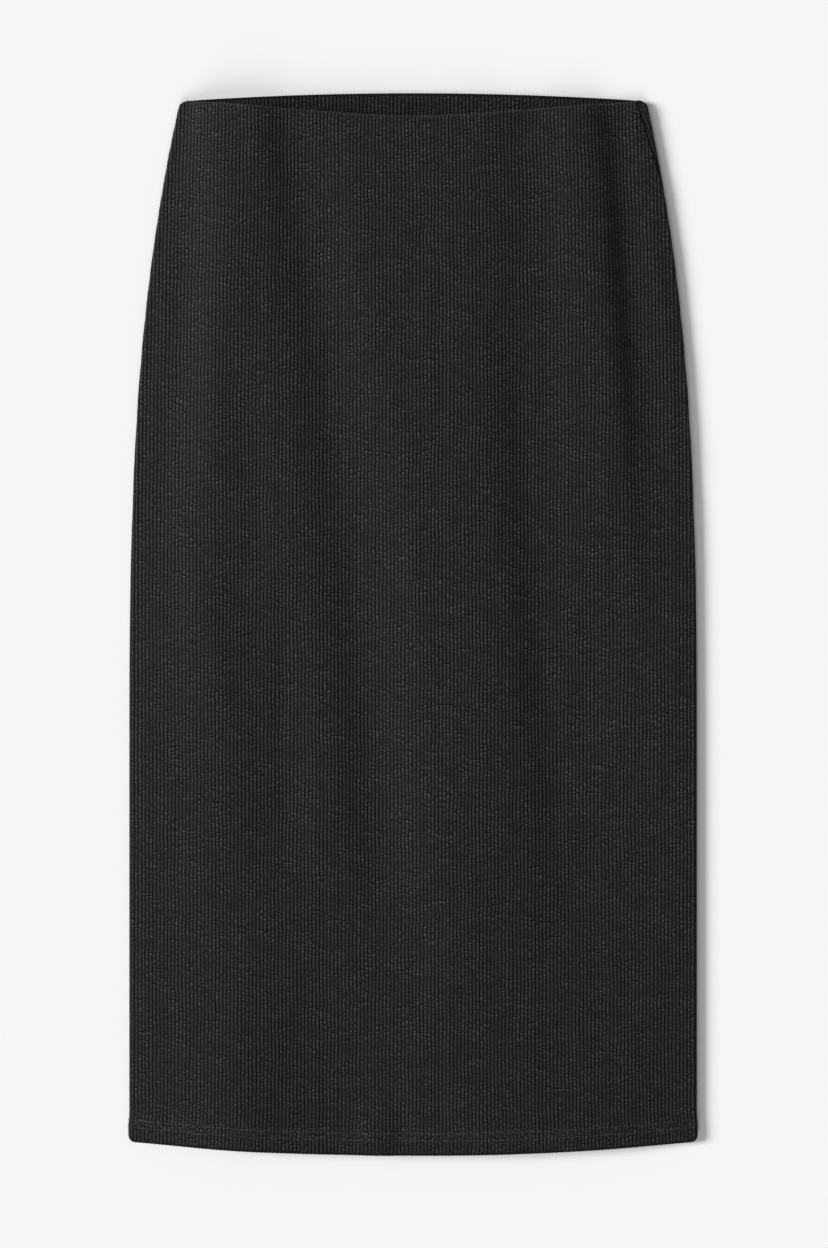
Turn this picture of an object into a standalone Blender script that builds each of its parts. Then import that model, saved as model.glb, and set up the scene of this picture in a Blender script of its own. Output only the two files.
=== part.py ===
"""A straight midi skirt in rib jersey, laid flat with its front up.

+Y runs up the skirt to the waist, +X to the right as one looks at the front, and +Z out of
the surface it lies on. Lengths are in metres. "below" is measured down the skirt from the
level of the two waist corners. "across" is measured along the cloth from the centre front,
out over either side and on round underneath, so that the skirt is one ring at each level.
"""

import math

import bmesh
import bpy
import numpy as np

# The cut, laid flat.
WAIST_WIDTH = 0.349
HEM_WIDTH = 0.425
SIDE_LENGTH = 0.780  # waist corner to hem corner
HIP_REACH = 0.500  # the side seams curve in from here up to the waist
BACK_RISE = 0.006  # the back waist stands above the corners by this at its centre
FRONT_DIP = 0.0125  # and the front waist hangs below them by this
DIP_SOFTNESS = 0.25  # how round the lowest point of the front waist is
HEM_BOW = 0.0095  # the hem's centre lies below its corners by this
WAIST_CORNER = (0.0025, 0.0055)  # how far a corner is rounded down, and over what width
HEM_CORNER = (0.0045, 0.0075)
HEM_FLARE = 0.0008  # the doubled hem stands wider than the cloth above it

# The cloth.
WALL = 0.0010
RIB_PITCH = 0.00285
RIB_HEIGHT = 0.0005
RIB_HEIGHT_AT_FOLD = 0.00012  # the turned edges press the ribs down
FOLD_REACH = 0.002
RIBS_AT_HEM = 154  # across the front
RIBS_AT_WAIST = 130
SEAM_GAP = 0.0003
SIDE_RADIUS = 0.0025  # of the turn from front to back at each side
CASING_DEPTH = 0.030
HEM_DEPTH = 0.017
TURNED_IN = 0.012  # a casing or turn-up stops this far short of the side
WAIST_ROLL = 0.0005  # how far the fold at the front waist rolls down
WAIST_ROLL_REACH = 0.004

# At the top of the right side the back turns over the edge, so the seam shows in front.
SEAM_TURN = 0.0081
SEAM_TURN_LENGTH = 0.072
SEAM_TURN_POWER = 1.3

# How the front lies: one row for each section down the skirt. left and right are where it
# rises from the flat edge, rise_left and rise_right how far across that rise spreads, and
# settle how far in from a side it starts to come down.
SECTION_COLUMNS = ("below", "crown", "left", "rise_left", "right", "rise_right", "settle")
SECTIONS = (
    (-0.010, 0.0090, -0.156, 0.0080, 0.139, 0.0078, 0.018),
    (0.075, 0.0095, -0.156, 0.0080, 0.145, 0.0078, 0.018),
    (0.150, 0.0095, -0.158, 0.0090, 0.153, 0.0080, 0.020),
    (0.225, 0.0094, -0.163, 0.0110, 0.160, 0.0090, 0.024),
    (0.300, 0.0092, -0.170, 0.0180, 0.167, 0.0150, 0.036),
    (0.375, 0.0089, -0.177, 0.0280, 0.172, 0.0290, 0.056),
    (0.450, 0.0085, -0.184, 0.0400, 0.180, 0.0440, 0.074),
    (0.600, 0.0076, -0.194, 0.0560, 0.190, 0.0580, 0.088),
    (0.700, 0.0065, -0.196, 0.0600, 0.192, 0.0600, 0.090),
    (0.800, 0.0056, -0.196, 0.0600, 0.192, 0.0600, 0.090),
)
FLANGE = 0.0008  # height of the front near its edges, over the seam allowances
FLANGE_REACH = 0.012

# The soft folds of the front, one row each. A fold runs from x_top through x_mid to x_foot,
# between top and foot, and spreads unevenly to its two sides. depth is negative in a trough.
FOLD_COLUMNS = (
    "x_top", "x_mid", "x_foot", "top", "foot", "fade_top", "fade_foot",
    "spread_left", "spread_right", "depth",
)
FOLDS = {
    "long_left_trough": (-0.097, -0.054, -0.024, 0.000, 0.660, 0.05, 0.14, 0.010, 0.020, -0.0044),
    "left_waist_ridge": (-0.124, -0.118, -0.110, -0.02, 0.250, 0.02, 0.15, 0.013, 0.012, 0.0014),
    "left_hip_trough": (-0.124, -0.117, -0.088, 0.150, 0.680, 0.12, 0.12, 0.011, 0.013, -0.0024),
    "left_thigh_ridge": (-0.098, -0.086, -0.074, 0.300, 0.600, 0.12, 0.12, 0.009, 0.009, 0.0010),
    "centre_ridge": (-0.048, -0.008, 0.022, 0.060, 0.680, 0.10, 0.06, 0.011, 0.022, 0.0016),
    "right_waist_trough": (0.082, 0.074, 0.068, -0.02, 0.220, 0.02, 0.10, 0.009, 0.012, -0.0018),
    "long_right_trough": (0.066, 0.088, 0.114, 0.120, 0.660, 0.12, 0.12, 0.010, 0.018, -0.0040),
    "right_waist_ridge": (0.114, 0.122, 0.130, -0.02, 0.320, 0.02, 0.15, 0.012, 0.012, 0.0010),
    "left_hem_trough": (-0.094, -0.094, -0.092, 0.600, 0.840, 0.15, 0.02, 0.016, 0.018, -0.0024),
    "centre_hem_ridge": (-0.032, -0.034, -0.036, 0.690, 0.840, 0.10, 0.02, 0.012, 0.012, 0.0010),
    "small_hem_trough": (-0.012, -0.012, -0.013, 0.740, 0.840, 0.05, 0.02, 0.008, 0.008, -0.0007),
    "right_hem_trough": (0.112, 0.110, 0.106, 0.680, 0.840, 0.12, 0.02, 0.020, 0.024, -0.0010),
}

# How finely the panels are divided.
BODY_ROWS = 9  # down the front, between the casing's edge and the hem's
INNER_STEP = 0.0105  # between points of the front's plain inside
BACK_TOP_ROWS = 10  # down the stretch where the seam shows in front
BACK_ROWS = 20  # and from there to the hem
BACK_GRADING = 1.25  # these lie closer together toward the waist
BACK_COLUMNS = 12
TURN_POINTS = 4

TOP_Y = SIDE_LENGTH / 2 + (HEM_BOW - BACK_RISE) / 2  # y at the waist corners
FRONT_Z = 2 * SIDE_RADIUS
QUARTER = SIDE_RADIUS * math.pi / 2
CUT_HEM = RIBS_AT_HEM * RIB_PITCH / 2
CUT_WAIST = RIBS_AT_WAIST * RIB_PITCH / 2
RIB_COLUMNS = 2 * RIBS_AT_HEM + 1  # a crest or a groove every half pitch
CHARCOAL = (0.021, 0.021, 0.022, 1.0)
INNER_CHARCOAL = (0.017, 0.017, 0.018, 1.0)
ROUGHNESS = 0.9


# --- the outline --------------------------------------------------------------------------


def smooth(t):
    t = np.clip(t, 0.0, 1.0)
    return t * t * (3.0 - 2.0 * t)


def hip_taper(below):
    return np.clip(1.0 - below / HIP_REACH, 0.0, None) ** 3


def half_width(below):
    """Half the laid skirt's width."""
    flare = HEM_FLARE * smooth((below - SIDE_LENGTH + 1.3 * HEM_DEPTH) / (0.5 * HEM_DEPTH))
    return HEM_WIDTH / 2 - (HEM_WIDTH - WAIST_WIDTH) / 2 * hip_taper(below) + flare


def cut_half(below):
    """Half the front's width along the cloth."""
    return CUT_HEM - (CUT_HEM - CUT_WAIST) * hip_taper(below)


def seam_turn(below):
    """How far the right side seam lies in from the edge, along the cloth."""
    share = np.clip(below / SEAM_TURN_LENGTH, 0.0, 1.0)
    return SEAM_TURN * (1.0 - share**SEAM_TURN_POWER)


def seam(below, side):
    """Where the side seam runs, along the cloth. side is -1 or 1."""
    return cut_half(below) - np.where(side > 0, seam_turn(below), 0.0)


def corner(x, half, size):
    """How far a rounded corner holds an edge back."""
    depth, width = size
    return depth * np.clip(1.0 - (half - np.abs(x)) / width, 0.0, 1.0) ** 2


def front_waist(x):
    """The front's top edge, as a distance below the corners."""
    share = np.clip(np.abs(x) / (WAIST_WIDTH / 2), 0.0, 1.0)
    bend = np.hypot(share, DIP_SOFTNESS) - DIP_SOFTNESS
    whole = math.hypot(1.0, DIP_SOFTNESS) - DIP_SOFTNESS
    return FRONT_DIP * (1.0 - bend / whole) + corner(x, WAIST_WIDTH / 2, WAIST_CORNER)


def back_waist(x):
    share = np.clip(np.abs(x) / (WAIST_WIDTH / 2), 0.0, 1.0)
    return -BACK_RISE * (1.0 - share**2) + corner(x, WAIST_WIDTH / 2, WAIST_CORNER)


def hem(x):
    share = np.clip(np.abs(x) / (HEM_WIDTH / 2), 0.0, 1.0)
    return SIDE_LENGTH + HEM_BOW * (1.0 - share**2) - corner(x, HEM_WIDTH / 2, HEM_CORNER)


# --- how the front lies -------------------------------------------------------------------


def section_value(column, below):
    """One column of SECTIONS, carried smoothly from row to row."""
    rows = np.array(SECTIONS)
    knots = rows[:, 0]
    values = rows[:, SECTION_COLUMNS.index(column)]
    slopes = np.gradient(values, knots)
    below = np.clip(below, knots[0], knots[-1])
    k = np.clip(np.searchsorted(knots, below) - 1, 0, len(knots) - 2)
    gap = knots[k + 1] - knots[k]
    t = (below - knots[k]) / gap
    return (
        (2 * t**3 - 3 * t**2 + 1) * values[k]
        + (t**3 - 2 * t**2 + t) * gap * slopes[k]
        + (3 * t**2 - 2 * t**3) * values[k + 1]
        + (t**3 - t**2) * gap * slopes[k + 1]
    )


def fold_height(fold, x, below):
    size = dict(zip(FOLD_COLUMNS, fold))
    share = (below - size["top"]) / (size["foot"] - size["top"])
    bend = 4.0 * share * (1.0 - share) * (size["x_mid"] - (size["x_top"] + size["x_foot"]) / 2)
    off = x - (size["x_top"] + (size["x_foot"] - size["x_top"]) * share + bend)
    spread = np.where(off < 0.0, size["spread_left"], size["spread_right"])
    begins = smooth((below - size["top"]) / size["fade_top"])
    ends = smooth((size["foot"] - below) / size["fade_foot"])
    return size["depth"] * begins * ends * np.exp(-0.5 * (off / spread) ** 2)


def loft(x, below):
    """How far the front rises above its flat edge."""
    left = np.tanh((x - section_value("left", below)) / section_value("rise_left", below))
    right = np.tanh((section_value("right", below) - x) / section_value("rise_right", below))
    body = section_value("crown", below) * (1.0 + left) * (1.0 + right) / 4.0
    for fold in FOLDS.values():
        body = body + fold_height(fold, x, below)
    inset = half_width(below) - SIDE_RADIUS - np.abs(x)
    settled = smooth(inset / section_value("settle", below))
    return FLANGE * smooth(inset / FLANGE_REACH) + body * settled


def lay_sections():
    """x and z of the front's face from seam to seam, in even steps along each section."""
    below = np.linspace(-2 * BACK_RISE, SIDE_LENGTH + 2 * HEM_BOW, 420)[:, None]
    flat = half_width(below) - SIDE_RADIUS
    turn = np.linspace(0.0, math.pi / 2, 25)[None, :]
    side_x = flat + SIDE_RADIUS * np.cos(turn)
    side_z = SIDE_RADIUS + SIDE_RADIUS * np.sin(turn) + 0.0 * flat
    top_x = flat * np.linspace(-1.0, 1.0, 901)[None, 1:-1]
    top_z = FRONT_Z + loft(top_x, below)
    x = np.concatenate([-side_x, top_x, side_x[:, ::-1]], axis=1)
    z = np.concatenate([side_z, top_z, side_z[:, ::-1]], axis=1)
    steps = np.hypot(np.diff(x, axis=1), np.diff(z, axis=1))
    along = np.concatenate([0.0 * flat, np.cumsum(steps, axis=1)], axis=1)
    even = np.linspace(0.0, 1.0, 901)
    laid = [
        (np.interp(even, a / a[-1], row_x), np.interp(even, a / a[-1], row_z))
        for a, row_x, row_z in zip(along, x, z)
    ]
    return below[:, 0], np.array(laid)


LAID_BELOW, LAID = lay_sections()


def skirt_point(across, below):
    """A point of the skirt's outer face, front or back."""
    across, below = np.broadcast_arrays(across, below)
    side = np.sign(across)
    over = np.clip(np.abs(across) - cut_half(below), 0.0, None)

    column = (np.clip(across / cut_half(below), -1.0, 1.0) + 1.0) / 2.0 * (LAID.shape[2] - 1)
    row = (below - LAID_BELOW[0]) / (LAID_BELOW[1] - LAID_BELOW[0])
    r = np.clip(np.floor(row).astype(int), 0, len(LAID) - 2)
    c = np.clip(np.floor(column).astype(int), 0, LAID.shape[2] - 2)
    fr, fc = row - r, column - c
    front_x, front_z = (
        (1 - fr) * ((1 - fc) * LAID[r, axis, c] + fc * LAID[r, axis, c + 1])
        + fr * ((1 - fc) * LAID[r + 1, axis, c] + fc * LAID[r + 1, axis, c + 1])
        for axis in (0, 1)
    )
    rolled = 1.0 - np.clip((below - front_waist(front_x)) / WAIST_ROLL_REACH, 0.0, 1.0)
    front_z = front_z - WAIST_ROLL * rolled**2 * smooth((front_z - SIDE_RADIUS) / FLANGE)

    angle = np.minimum(over / SIDE_RADIUS, math.pi / 2)
    flat = half_width(below) - SIDE_RADIUS
    past = np.clip(over - QUARTER, 0.0, None)
    back_x = side * (flat + SIDE_RADIUS * np.cos(angle) - past)
    back_z = SIDE_RADIUS * (1.0 - np.sin(angle))
    x = np.where(over > 0.0, back_x, front_x)
    z = np.where(over > 0.0, back_z, front_z)
    return np.stack([x, TOP_Y - below, z], axis=-1)


def skirt_layer(across, below, out):
    """The skirt's face moved out along its normal, or in where out is negative."""
    step = 0.0004
    across, below = np.broadcast_arrays(across, below)
    run = skirt_point(across + step, below) - skirt_point(across - step, below)
    fall = skirt_point(across, below - step) - skirt_point(across, below + step)
    normal = np.cross(run, fall)
    normal /= np.linalg.norm(normal, axis=-1, keepdims=True)
    return skirt_point(across, below) + normal * np.broadcast_to(out, across.shape)[..., None]


# --- making walls -------------------------------------------------------------------------


def add_grid(mesh, points):
    """A grid laid through points[column, row]. Returns its vertices in the same order."""
    columns, rows = points.shape[:2]
    made = bmesh.ops.create_grid(mesh, x_segments=columns - 1, y_segments=rows - 1, size=1.0)
    verts = [[None] * rows for _ in range(columns)]
    for vert in made["verts"]:
        column = round((vert.co.x + 1.0) / 2.0 * (columns - 1))
        row = round((vert.co.y + 1.0) / 2.0 * (rows - 1))
        verts[column][row] = vert
        vert.co = points[column, row]
    return verts


def join_rows(mesh, fine, coarse, picked):
    """Closes the rim between a row of points and the fewer points picked from it."""
    for k in range(len(picked) - 1):
        first, last = picked[k], picked[k + 1]
        middle = (first + last) // 2
        for j in range(first, last):
            mesh.faces.new((fine[j], fine[j + 1], coarse[k if j < middle else k + 1]))
        mesh.faces.new((coarse[k], fine[middle], coarse[k + 1]))


def wall(name, outer, inner, colour, collection, picked=None):
    """A closed wall between two faces. inner may hold only the picked columns of outer."""
    if picked is None:
        picked = list(range(len(outer)))
    mesh = bmesh.new()
    face = add_grid(mesh, outer)
    lining = add_grid(mesh, inner)
    for row in (0, -1):
        join_rows(mesh, [column[row] for column in face], [column[row] for column in lining], picked)
    for end in (0, -1):
        for i in range(outer.shape[1] - 1):
            ring = (face[end][i], lining[end][i], lining[end][i + 1], face[end][i + 1])
            mesh.faces.new(ring)
    bmesh.ops.triangulate(mesh, faces=mesh.faces, quad_method="SHORT_EDGE")
    bmesh.ops.recalc_face_normals(mesh, faces=mesh.faces)

    data = bpy.data.meshes.new(name)
    mesh.to_mesh(data)
    mesh.free()
    data.materials.append(make_material(name, colour))
    data.shade_smooth()
    data.set_sharp_from_angle(angle=math.radians(60))
    piece = bpy.data.objects.new(name, data)
    collection.objects.link(piece)
    return piece


def make_material(name, colour):
    material = bpy.data.materials.new(f"{name}_jersey")
    material.use_nodes = True
    shader = material.node_tree.nodes["Principled BSDF"]
    shader.inputs["Base Color"].default_value = colour
    shader.inputs["Roughness"].default_value = ROUGHNESS
    shader.inputs["Metallic"].default_value = 0.0
    return material


def thinned(points):
    """Which columns a plain inside keeps: both ends, and one every INNER_STEP between."""
    picked = [0]
    for j in range(1, len(points)):
        if np.linalg.norm(points[j] - points[picked[-1]]) >= INNER_STEP:
            picked.append(j)
    if picked[-1] != len(points) - 1:
        picked[-1] = len(points) - 1
    return picked


def rib_crests(columns, rows):
    """How far each point is raised: every other column is a crest, pressed down at both ends."""
    heights = np.full(rows, RIB_HEIGHT)
    heights[[0, -1]] = RIB_HEIGHT_AT_FOLD
    return np.where(np.arange(columns) % 2, 1.0, 0.0)[:, None] * heights


# --- the front ----------------------------------------------------------------------------


def meet(line, across, start):
    """How far below the corners each column of the cloth meets a line below(x)."""
    below = np.full_like(across, start)
    for _ in range(8):
        below = line(skirt_point(across, below)[..., 0])
    return below


def meet_seam(across):
    """The same for a column that runs up into its side seam."""
    side = np.sign(across)
    low, high = np.zeros_like(across), np.full_like(across, HIP_REACH)
    for _ in range(40):
        middle = (low + high) / 2
        reached = seam(middle, side) - SEAM_GAP / 2 < np.abs(across)
        low, high = np.where(reached, middle, low), np.where(reached, high, middle)
    return high


def front_rows(across):
    """below at each row of each column: hem, hem line, body, casing line, top edge."""
    side = np.sign(across)
    to_waist = np.abs(across) <= seam(0.0, side) - SEAM_GAP / 2
    roll = WAIST_ROLL_REACH / 2
    top = np.where(to_waist, meet(front_waist, across, 0.0), meet_seam(across))
    second = np.where(to_waist, top, meet_seam(across + side * QUARTER / 2))
    second = np.maximum(second, top + roll)
    third = np.where(to_waist, top, meet_seam(across + side * QUARTER))
    third = np.maximum(third, second + roll)
    casing = np.maximum(top + CASING_DEPTH, third + 2 * roll)
    foot = meet(hem, across, SIDE_LENGTH)
    line = foot - HEM_DEPTH
    body = [line + (casing - line) * k / BODY_ROWS for k in range(BODY_ROWS)]
    return np.stack([foot, foot - FOLD_REACH, *body, casing, third, second, top], axis=1)


def make_front(collection):
    edge = CUT_HEM - SEAM_GAP / 2
    across = np.linspace(-edge, edge, RIB_COLUMNS)
    below = front_rows(across)
    outer = skirt_layer(across[:, None], below, rib_crests(*below.shape))
    picked = thinned(outer[:, -1])
    inner = skirt_layer(across[picked, None], below[picked], -WALL)
    wall("front_panel", outer, inner, CHARCOAL, collection, picked)

    def turned_in(name, rows):
        """The allowance turned in behind the front, on the columns of its plain inside."""
        clear = half_width(below[:, rows]) - np.abs(outer[:, rows, 0]) > TURNED_IN
        keep = [j for j in picked if clear[j].all()]
        strip = below[keep][:, rows]
        strip_across = across[keep, None]
        face = skirt_layer(strip_across, strip, -(WALL + SEAM_GAP))
        lining = skirt_layer(strip_across, strip, -(2 * WALL + SEAM_GAP))
        wall(name, face, lining, CHARCOAL, collection)

    rows = below.shape[1]
    turned_in("front_hem_turn_up", [0, 1, 2])
    turned_in("front_waist_casing", list(range(rows - 4, rows)))


# --- the back -----------------------------------------------------------------------------


def back_across(below):
    """Across the back from seam to seam, as places along the cloth."""
    cut = float(cut_half(below))
    flat = float(half_width(below)) - SIDE_RADIUS
    left = cut + np.linspace(SEAM_GAP / 2, QUARTER, TURN_POINTS)
    under = cut + QUARTER + flat * (1.0 - np.abs(np.linspace(-1.0, 1.0, BACK_COLUMNS)))[1:-1]
    right = cut + np.linspace(QUARTER, SEAM_GAP / 2 - float(seam_turn(below)), 2 * TURN_POINTS)
    middle = len(under) // 2
    return np.concatenate([-left, -under[:middle], under[middle:], right])


def make_back(collection):
    columns = len(back_across(0.0))
    turned = SEAM_TURN_LENGTH / SIDE_LENGTH
    lower = turned + (1.0 - turned) * np.linspace(0.0, 1.0, BACK_ROWS + 1) ** BACK_GRADING
    shares = np.concatenate([np.linspace(0.0, turned, BACK_TOP_ROWS + 1), lower[1:]])
    across = np.zeros((columns, len(shares)))
    below = np.zeros_like(across)
    for row, share in enumerate(shares):
        below[:, row] = SIDE_LENGTH * share
        for column in range(columns):
            for _ in range(8):
                place = back_across(below[column, row])[column]
                x = skirt_point(place, below[column, row])[0]
                below[column, row] = back_waist(x) + (hem(x) - back_waist(x)) * share
            across[column, row] = place
    face = skirt_layer(across, below, 0.0)
    lining = skirt_layer(across, below, -WALL)
    wall("back_panel", face, lining, CHARCOAL, collection)


def strip_face(x, edge, drops, height):
    """Points of a strip lying inside the back, in rows at these drops from an edge."""
    rows = [np.stack([x, TOP_Y - edge(x) - drop, height + 0.0 * x], axis=-1) for drop in drops]
    return np.stack(rows, axis=1)


def make_back_strips(collection):
    level = WALL + SEAM_GAP
    half_ribs = int((WAIST_WIDTH / 2 - TURNED_IN) / RIB_PITCH)
    x = RIB_PITCH / 2 * np.arange(-2 * half_ribs, 2 * half_ribs + 1)
    drops = (CASING_DEPTH, CASING_DEPTH - FOLD_REACH, FOLD_REACH, SEAM_GAP)
    face = strip_face(x, back_waist, drops, level + WALL)
    face[..., 2] += rib_crests(*face.shape[:2])
    picked = thinned(face[:, -1])
    lining = strip_face(x[picked], back_waist, drops, level)
    wall("back_waist_casing", face, lining, INNER_CHARCOAL, collection, picked)

    reach = HEM_WIDTH / 2 - TURNED_IN
    x = np.linspace(-reach, reach, 24)
    drops = (-SEAM_GAP, -HEM_DEPTH)
    face = strip_face(x, hem, drops, level + WALL)
    lining = strip_face(x, hem, drops, level)
    wall("back_hem_turn_up", face, lining, INNER_CHARCOAL, collection)


def main():
    for old in list(bpy.data.objects):
        bpy.data.objects.remove(old)
    collection = bpy.data.collections.new("midi_skirt")
    bpy.context.scene.collection.children.link(collection)
    make_front(collection)
    make_back(collection)
    make_back_strips(collection)


main()
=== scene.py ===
# %% [markdown]
# # A midi skirt in rib jersey, laid flat
#
# The skirt is a tube of fine rib jersey. A front and a back are joined at the sides, the top is
# turned in over an elastic, and the hem is turned up and held by two rows of stitching. It lies
# with its front up, photographed from straight above.
#
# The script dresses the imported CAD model. Lengths are in metres. +Y runs up the skirt, +X to the
# right and +Z out of the surface that it lies on.

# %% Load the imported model
import math

import bmesh
import bpy
import numpy as np
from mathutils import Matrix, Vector


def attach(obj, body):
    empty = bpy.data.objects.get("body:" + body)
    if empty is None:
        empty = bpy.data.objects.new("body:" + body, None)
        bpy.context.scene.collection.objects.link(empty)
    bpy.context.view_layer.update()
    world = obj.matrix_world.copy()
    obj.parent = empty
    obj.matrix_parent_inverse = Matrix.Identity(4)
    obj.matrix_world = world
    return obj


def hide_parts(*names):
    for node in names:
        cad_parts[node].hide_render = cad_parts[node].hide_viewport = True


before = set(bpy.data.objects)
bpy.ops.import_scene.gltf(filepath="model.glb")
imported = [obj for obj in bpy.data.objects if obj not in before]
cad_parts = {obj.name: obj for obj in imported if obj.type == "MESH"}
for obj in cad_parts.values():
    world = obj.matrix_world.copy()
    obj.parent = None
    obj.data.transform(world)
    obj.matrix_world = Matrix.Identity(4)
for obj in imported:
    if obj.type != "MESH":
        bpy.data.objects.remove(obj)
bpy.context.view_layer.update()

print("CAD nodes:", ", ".join(sorted(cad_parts)))

# %% [markdown]
# ## The cut
#
# These are the sizes of the skirt as it lies, and of its cloth. Apart from the rounding of the
# hem's corners, which is finer here, they are the values of the CAD source, repeated because this
# script can't read that file. "below" is measured down the skirt from the level of the waist
# corners. "across" is measured along the cloth from the centre front, over either side and on
# round underneath, so the skirt is one ring.

# %% Sizes of the skirt and of its cloth
MM = 0.001
WAIST_WIDTH = 0.349
HEM_WIDTH = 0.425
SIDE_LENGTH = 0.780
HIP_REACH = 0.500
BACK_RISE = 0.006
FRONT_DIP = 0.0125
DIP_SOFTNESS = 0.25
HEM_BOW = 0.0095
WAIST_CORNER = (0.0025, 0.0055)
HEM_CORNER = (0.0046, 0.0046)
HEM_CORNER_LIMIT = 0.985
HEM_FLARE = 0.0008

WALL = 0.0010
RIB_PITCH = 0.00285
RIB_HEIGHT = 0.0005
RIBS_AT_HEM = 154
RIBS_AT_WAIST = 130
SEAM_GAP = 0.0003
SIDE_RADIUS = 0.0025
CASING_DEPTH = 0.030
HEM_DEPTH = 0.017
FLARE_START = 1.3 * HEM_DEPTH
FLARE_LENGTH = 0.5 * HEM_DEPTH
TURNED_THICKNESS = 2 * WALL + SEAM_GAP
WAIST_ROLL = 0.0005
WAIST_ROLL_REACH = 0.004
SEAM_TURN = 0.0081
SEAM_TURN_LENGTH = 0.072
SEAM_TURN_POWER = 1.3

TOP_Y = SIDE_LENGTH / 2 + (HEM_BOW - BACK_RISE) / 2
FRONT_Z = 2 * SIDE_RADIUS
QUARTER = SIDE_RADIUS * math.pi / 2
CUT_HEM = RIBS_AT_HEM * RIB_PITCH / 2
CUT_WAIST = RIBS_AT_WAIST * RIB_PITCH / 2
print(f"front cut: {2 * CUT_WAIST:.3f} m at the waist, {2 * CUT_HEM:.3f} m at the hem")

# %% [markdown]
# ## The outline
#
# A skirt's side curves out over the hip and then falls straight. One cubic taper gives that
# curve, and the waist and hem are shallow bows with small round corners. The front waist hangs
# lower than the back's, so the inside of the back shows above it.

# %% The outline as it lies
def smooth(t):
    t = np.clip(t, 0.0, 1.0)
    return t * t * (3.0 - 2.0 * t)


def hip_taper(below):
    return np.clip(1.0 - below / HIP_REACH, 0.0, None) ** 3


def half_width(below):
    flare = HEM_FLARE * smooth((below - SIDE_LENGTH + FLARE_START) / FLARE_LENGTH)
    return HEM_WIDTH / 2 - (HEM_WIDTH - WAIST_WIDTH) / 2 * hip_taper(below) + flare


def cut_half(below):
    """Half the front's width along the cloth."""
    return CUT_HEM - (CUT_HEM - CUT_WAIST) * hip_taper(below)


def seam_turn(below):
    """How far the back turns over the right edge, at the top of that side."""
    share = np.clip(below / SEAM_TURN_LENGTH, 0.0, 1.0)
    return SEAM_TURN * (1.0 - share**SEAM_TURN_POWER)


def waist_corner(x):
    """How far the rounding of the waist's corners brings its edge down."""
    depth, width = WAIST_CORNER
    return depth * np.clip(1.0 - (WAIST_WIDTH / 2 - np.abs(x)) / width, 0.0, 1.0) ** 2


def front_waist(x):
    share = np.clip(np.abs(x) / (WAIST_WIDTH / 2), 0.0, 1.0)
    bend = np.hypot(share, DIP_SOFTNESS) - DIP_SOFTNESS
    whole = math.hypot(1.0, DIP_SOFTNESS) - DIP_SOFTNESS
    return FRONT_DIP * (1.0 - bend / whole) + waist_corner(x)


def back_waist(x):
    share = np.clip(np.abs(x) / (WAIST_WIDTH / 2), 0.0, 1.0)
    return -BACK_RISE * (1.0 - share**2) + waist_corner(x)


def hem_bow(x):
    share = np.clip(np.abs(x) / (HEM_WIDTH / 2), 0.0, 1.0)
    return SIDE_LENGTH + HEM_BOW * (1.0 - share**2)


def hem(x):
    """The hem's bow, with a quarter of an ellipse at each end."""
    depth, width = HEM_CORNER
    turn = np.clip(1.0 - (HEM_WIDTH / 2 + HEM_FLARE - np.abs(x)) / width, 0.0, HEM_CORNER_LIMIT)
    return hem_bow(x) - depth * (1.0 - np.sqrt(1.0 - turn**2))


print(f"laid flat: {2 * half_width(0.0):.3f} m at the waist, {2 * half_width(0.7):.3f} m below")

# %% [markdown]
# ## How the front lies
#
# Cloth that was worn and laid down keeps a few long soft folds. A simulation would put them in
# other places, so each is stated: it starts at one place across the skirt, bends through another
# and ends at a third. Its two sides spread unevenly, as a real trough's do. The sections give how
# high the front lies over the back, and where it comes down to the flat sides.
#
# Most values in these two tables weren't set by hand. They were fitted by least squares to the
# light and shade of the photograph, and they were then rounded. They differ from the values in
# the CAD source, which are from before that fit.

# %% Sections and folds of the front
SECTION_COLUMNS = ("below", "crown", "left", "rise_left", "right", "rise_right", "settle")
SECTIONS = (
    (-0.010, 0.0095, -0.158, 0.015, 0.138, 0.014, 0.018),
    (0.075, 0.0095, -0.158, 0.014, 0.148, 0.009, 0.018),
    (0.150, 0.0100, -0.160, 0.014, 0.154, 0.008, 0.020),
    (0.225, 0.0105, -0.164, 0.018, 0.160, 0.010, 0.024),
    (0.300, 0.0095, -0.168, 0.022, 0.164, 0.016, 0.036),
    (0.375, 0.0080, -0.185, 0.050, 0.164, 0.030, 0.056),
    (0.450, 0.0065, -0.235, 0.026, 0.168, 0.056, 0.080),
    (0.600, 0.0060, -0.240, 0.020, 0.172, 0.046, 0.092),
    (0.700, 0.0060, -0.245, 0.020, 0.220, 0.062, 0.094),
    (0.800, 0.0105, -0.225, 0.035, 0.200, 0.070, 0.094),
)
FLANGE = 0.0008
FLANGE_REACH = 0.012

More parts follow.
